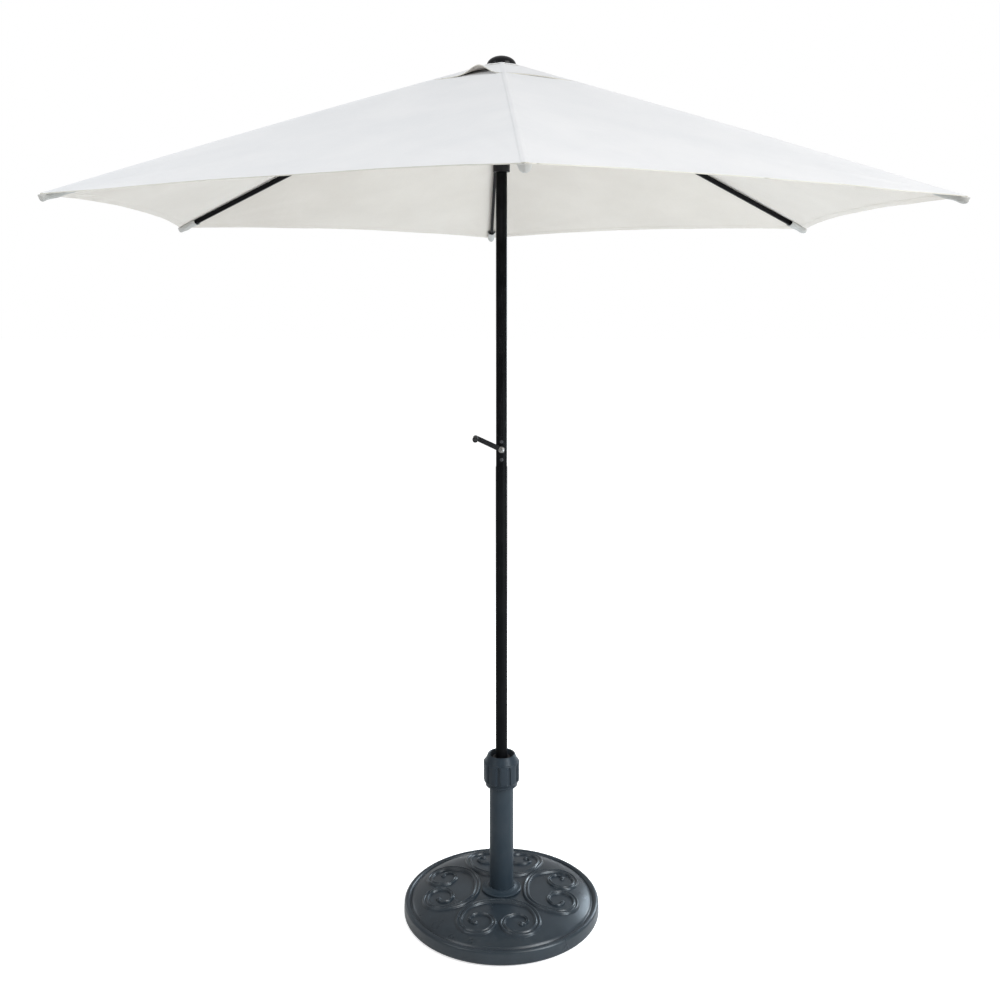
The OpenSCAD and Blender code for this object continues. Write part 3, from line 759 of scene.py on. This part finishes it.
# Across a scroll, in shares of its half width and of its height: two rounded ridges with a groove between
# them, feathered into the dome.
RIDGE = [(0.16, 0.50), (0.32, 0.86), (0.52, 1.0), (0.72, 0.92), (0.88, 0.66), (0.98, 0.30), (1.06, 0.04),
         (1.16, -0.10)]
SCROLL_SECTION = [(-a, h) for a, h in reversed(RIDGE)] + [(0.0, 0.34)] + RIDGE
SCROLL_SINK = 0.0015         # how far the scrolls and beads reach down into the dome
BEAD_RADIUS = 0.0076
BEAD_HEIGHT = 0.0062


def dome(r):
    """Height of the base's domed top at radius r."""
    return GROOVE_Z + (BASE_TOP - GROOVE_Z) * (1 - (min(r, DOME_R) / DOME_R) ** 5) ** 0.8


def add_base_body():
    """The cast base, turned from its bore round the underside, side, rolled rim and groove to the dome."""
    profile = [(0.0345, BASE_TOP - 0.0005), (0.034, 0.020), (0.029, 0.0195), (0.029, 0.0045)]
    profile += [(0.031, 0.003), (0.10, 0.003), (0.18, 0.003), (0.255, 0.003), (0.260, 0.0033)]
    for step in range(9):
        a = math.radians(-80 + 80 * step / 8)
        profile.append((0.262 + 0.007 * math.cos(a), 0.0115 + 0.007 * math.sin(a)))
    profile += [(BASE_R, 0.018), (0.2688, 0.024), (0.2684, 0.029)]
    for step in range(13):
        a = math.radians(5 + 150 * step / 12)
        profile.append((0.2602 + 0.0080 * math.cos(a), 0.0335 + 0.0077 * math.sin(a)))
    profile += [(0.2528, 0.0355), (0.2516, 0.0350), (0.2500, 0.0352), (0.2485, 0.0366)]
    for step in range(1, 40):
        t = step / 39
        r = 0.2475 + (0.0345 - 0.2475) * (t ** 1.35)
        profile.append((r, dome(r)))
    body = lathe("base_body", profile, [MATERIALS["resin"]], 192)
    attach(body, "base")
    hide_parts("base_weight")


def add_scrolls():
    """Four moulded scrolls on the dome, each a bow that curls into a spiral with a bead at both ends."""
    points, faces = [], []
    columns = len(SCROLL_SECTION)
    half = spline(HALF_SCROLL, 9)
    path = [np.array((p[0], -p[1])) for p in half[:0:-1]] + [np.array(p) for p in half]
    length = np.concatenate([[0], np.cumsum([np.linalg.norm(b - a) for a, b in zip(path, path[1:])])])
    for motif in range(4):
        turn = motif * math.pi / 2 + SCROLL_TURN
        out = np.array([math.cos(turn), math.sin(turn)])
        side = np.array([-math.sin(turn), math.cos(turn)])
        start = len(points)
        for i, p in enumerate(path):
            before, after = path[max(i - 1, 0)], path[min(i + 1, len(path) - 1)]
            along = (after - before) / np.linalg.norm(after - before)
            across = np.array([-along[1], along[0]])
            from_end = min(length[i], length[-1] - length[i])
            grow = float(smooth(from_end, 0.0, 0.20))
            width = 0.0036 + 0.0056 * grow
            height = 0.0044 + 0.0016 * grow
            for a, h in SCROLL_SECTION:
                q = p + across * (a * width)
                r = float(np.hypot(*q))
                spot = q[0] * out + q[1] * side
                points.append((spot[0], spot[1], dome(r) + h * height))
        faces += grid_faces(len(path), columns, start)
        for row in (0, len(path) - 1):
            strip = [start + row * columns + j for j in range(columns)]
            faces.append(strip if row == 0 else strip[::-1])
        floor_start = len(points)
        for i in range(len(path)):
            for j in (0, columns - 1):
                x, y, z = points[start + i * columns + j]
                points.append((x, y, z - SCROLL_SINK))
        for i in range(len(path) - 1):
            a, b = floor_start + 2 * i, floor_start + 2 * i + 1
            faces.append((a, b, b + 2, a + 2)[::-1])
            left, right = start + i * columns, start + i * columns + columns - 1
            faces.append((left, left + columns, a + 2, a))
            faces.append((right, b, b + 2, right + columns))
        for end in (path[0], path[-1]):
            add_bead(points, faces, end, out, side)
    obj = make_object("base_scrolls", points, faces, [MATERIALS["resin"]])
    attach(obj, "base")


def add_bead(points, faces, centre, out, side):
    """A round boss in the middle of a spiral."""
    rings, segments = 7, 20
    start = len(points)
    spot = centre[0] * out + centre[1] * side
    base = dome(float(np.hypot(*centre)))
    for i in range(rings):
        a = math.pi / 2 * i / rings
        for j in range(segments):
            b = 2 * math.pi * j / segments
            r = BEAD_RADIUS * math.cos(a)
            z = base - SCROLL_SINK + (BEAD_HEIGHT + SCROLL_SINK) * math.sin(a)
            points.append((spot[0] + r * math.cos(b), spot[1] + r * math.sin(b), z))
    top = len(points)
    points.append((spot[0], spot[1], base + BEAD_HEIGHT))
    faces += grid_faces(rings, segments, start, wrap=True)
    last = start + (rings - 1) * segments
    faces += [(last + j, last + (j + 1) % segments, top) for j in range(segments)]
    faces.append(tuple(start + j for j in range(segments - 1, -1, -1)))


# ---------------------------------------------------------------- clamp nut

NUT_LOBES = 10
NUT_TURN = math.radians(-11)  # where the nut has stopped
GRIP_FROM = 0.0138           # the grip's ends, up from the nut's foot and down from its top
GRIP_TO = 0.0190


def nut_outline(z0, z1, r):
    """The nut's outside from bottom to top as (radius, height, share of the grooves' depth)."""
    grip_low, grip_high = z0 + 0.0160, z1 - 0.0215
    rows = [(0.0425, z0, 0), (0.0437, z0 + 0.0006, 0), (0.0440, z0 + 0.0016, 0), (0.0440, z0 + 0.0060, 0),
            (0.0434, z0 + 0.0066, 0), (0.0434, z0 + 0.0074, 0), (0.0450, z0 + 0.0080, 0),
            (0.0456, z0 + 0.0088, 0), (0.0456, z0 + 0.0122, 0), (0.0462, z0 + 0.0132, 0.1),
            (r - 0.0012, z0 + GRIP_FROM, 0.5), (r - 0.0003, z0 + 0.0146, 0.9)]
    for step in range(25):
        t = step / 24
        rows.append((r, grip_low + (grip_high - grip_low) * t, 1))
    rows += [(r - 0.0003, z1 - 0.0205, 1), (r - 0.0010, z1 - 0.0197, 0.8), (r - 0.0022, z1 - 0.0192, 0.4),
             (0.0462, z1 - GRIP_TO, 0.1), (0.0458, z1 - 0.0187, 0), (0.0453, z1 - 0.0178, 0)]
    for step in range(1, 9):
        t = step / 8
        rows.append((0.0453 - 0.0071 * t, z1 - 0.0178 + 0.0150 * t, 0))
    rows += [(0.0380, z1 - 0.0018, 0), (0.0376, z1 - 0.0006, 0), (0.0368, z1, 0), (0.0352, z1, 0)]
    return rows


def groove_share(t, from_groove):
    """How deep the grip's groove is cut at share t of its height: 1 inside a tall arch, 0 outside it."""
    arch_from = 0.74
    half = 0.30 * math.sqrt(max(0.0, 1 - (max(0.0, t - arch_from) / (0.95 - arch_from)) ** 2))
    if half < 0.02:
        return 0.0
    return 1 - float(smooth(from_groove, half - 0.05, half + 0.05))


def add_nut():
    """The clamp nut: a ring at its foot, a grip with arched grooves and a conical shoulder."""
    low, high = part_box("clamp_nut")
    z0, z1 = low.z, high.z
    outline = nut_outline(z0, z1, (high.x - low.x) / 2)
    inside = [(0.0340, z1 - 0.0010), (0.0332, z1 - 0.0030), (0.0312, z1 - 0.0080), (0.0272, z1 - 0.0170),
              (0.0316, z0 + 0.058), (0.0316, z0 + 0.030), (0.0316, z0), (0.037, z0)]
    segments = 32 * NUT_LOBES
    points = []
    for i in range(segments):
        a = 2 * math.pi * i / segments
        from_groove = abs((a * NUT_LOBES / (2 * math.pi)) % 1.0 - 0.5) * 2
        lobe = 0.0007 * (1 - from_groove) ** 2
        for radius, z, depth in outline:
            t = (z - z0 - GRIP_FROM) / (z1 - z0 - GRIP_FROM - GRIP_TO)
            cut = groove_share(t, from_groove) if depth else 0.0
            radius = radius - depth * (0.0036 * cut + lobe)
            points.append((radius * math.cos(a + NUT_TURN), radius * math.sin(a + NUT_TURN), z))
        for radius, z in inside:
            points.append((radius * math.cos(a + NUT_TURN), radius * math.sin(a + NUT_TURN), z))
    n = len(outline) + len(inside)
    faces = []
    for i in range(segments):
        j = (i + 1) % segments
        for k in range(n):
            m = (k + 1) % n
            faces.append((i * n + k, j * n + k, j * n + m, i * n + m))
    nut = make_object("nut_body", points, faces, [MATERIALS["nut"]])
    nut.data.set_sharp_from_angle(angle=math.radians(38))
    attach(nut, "clamp")
    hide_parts("clamp_nut")


# ---------------------------------------------------------------- lift cord

def add_outer_cord():
    """The lift cord between the pulley's slot and the runner."""
    low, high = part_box("cord_outer")
    x, y = (low.x + high.x) / 2, (low.y + high.y) / 2
    r = (high.x - low.x) / 2
    rows, columns = 40, 16
    points = []
    for i in range(rows):
        z = high.z + (low.z - high.z) * i / (rows - 1)
        for j in range(columns):
            a = 2 * math.pi * j / columns
            points.append((x + r * math.cos(a), y + r * math.sin(a), z))
    faces = grid_faces(rows, columns, 0, True, True)
    faces += [tuple(range(columns)), tuple(range((rows - 1) * columns, rows * columns))[::-1]]
    obj = make_object("lift_cord", points, faces, [MATERIALS["cord"]])
    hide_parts("cord_outer")
    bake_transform(obj)


# ---------------------------------------------------------------- finishes of the CAD pieces

FINISH = {
    "base_feet": "rubber", "foot_washer": "steel", "foot_bolt": "steel", "base_tube": "tube",
    "tube_flange": "tube", "threaded_collar": "black", "reducer_sleeve": "black", "lower_pole": "pole",
    "pole_foot": "black", "upper_pole": "pole", "pole_button": "steel", "crank_housing": "black",
    "crank_plate": "pole", "housing_screws": "dark_steel", "crown_hub": "black", "crown_pins": "steel",
    "finial": "gloss", "pulley_wheel": "sleeve", "pulley_pin": "steel", "cord_inner": "cord",
    "runner": "black", "runner_pins": "steel", "crank_spool": "sleeve", "crank_arm": "arm",
    "arm_screw": "dull_steel", "grip_pin": "dark_steel", "crank_grip": "black",
}
for k in range(1, RIBS + 1):
    FINISH[f"rib_{k}"] = "rib"
    FINISH[f"strut_{k}"] = "rib"
    FINISH[f"bracket_{k}"] = "dark_steel"
    FINISH[f"tip_{k}"] = "black"


def finish_nodes():
    """Gives each CAD piece that the visual model keeps its own material."""
    for name, finish in FINISH.items():
        node = nodes[name]
        node.data.materials.clear()
        node.data.materials.append(MATERIALS[finish])


add_canopy()
for k in range(1, RIBS + 1):
    add_pocket(k)
add_crown_cap()
add_base_body()
add_scrolls()
add_nut()
add_outer_cord()
finish_nodes()
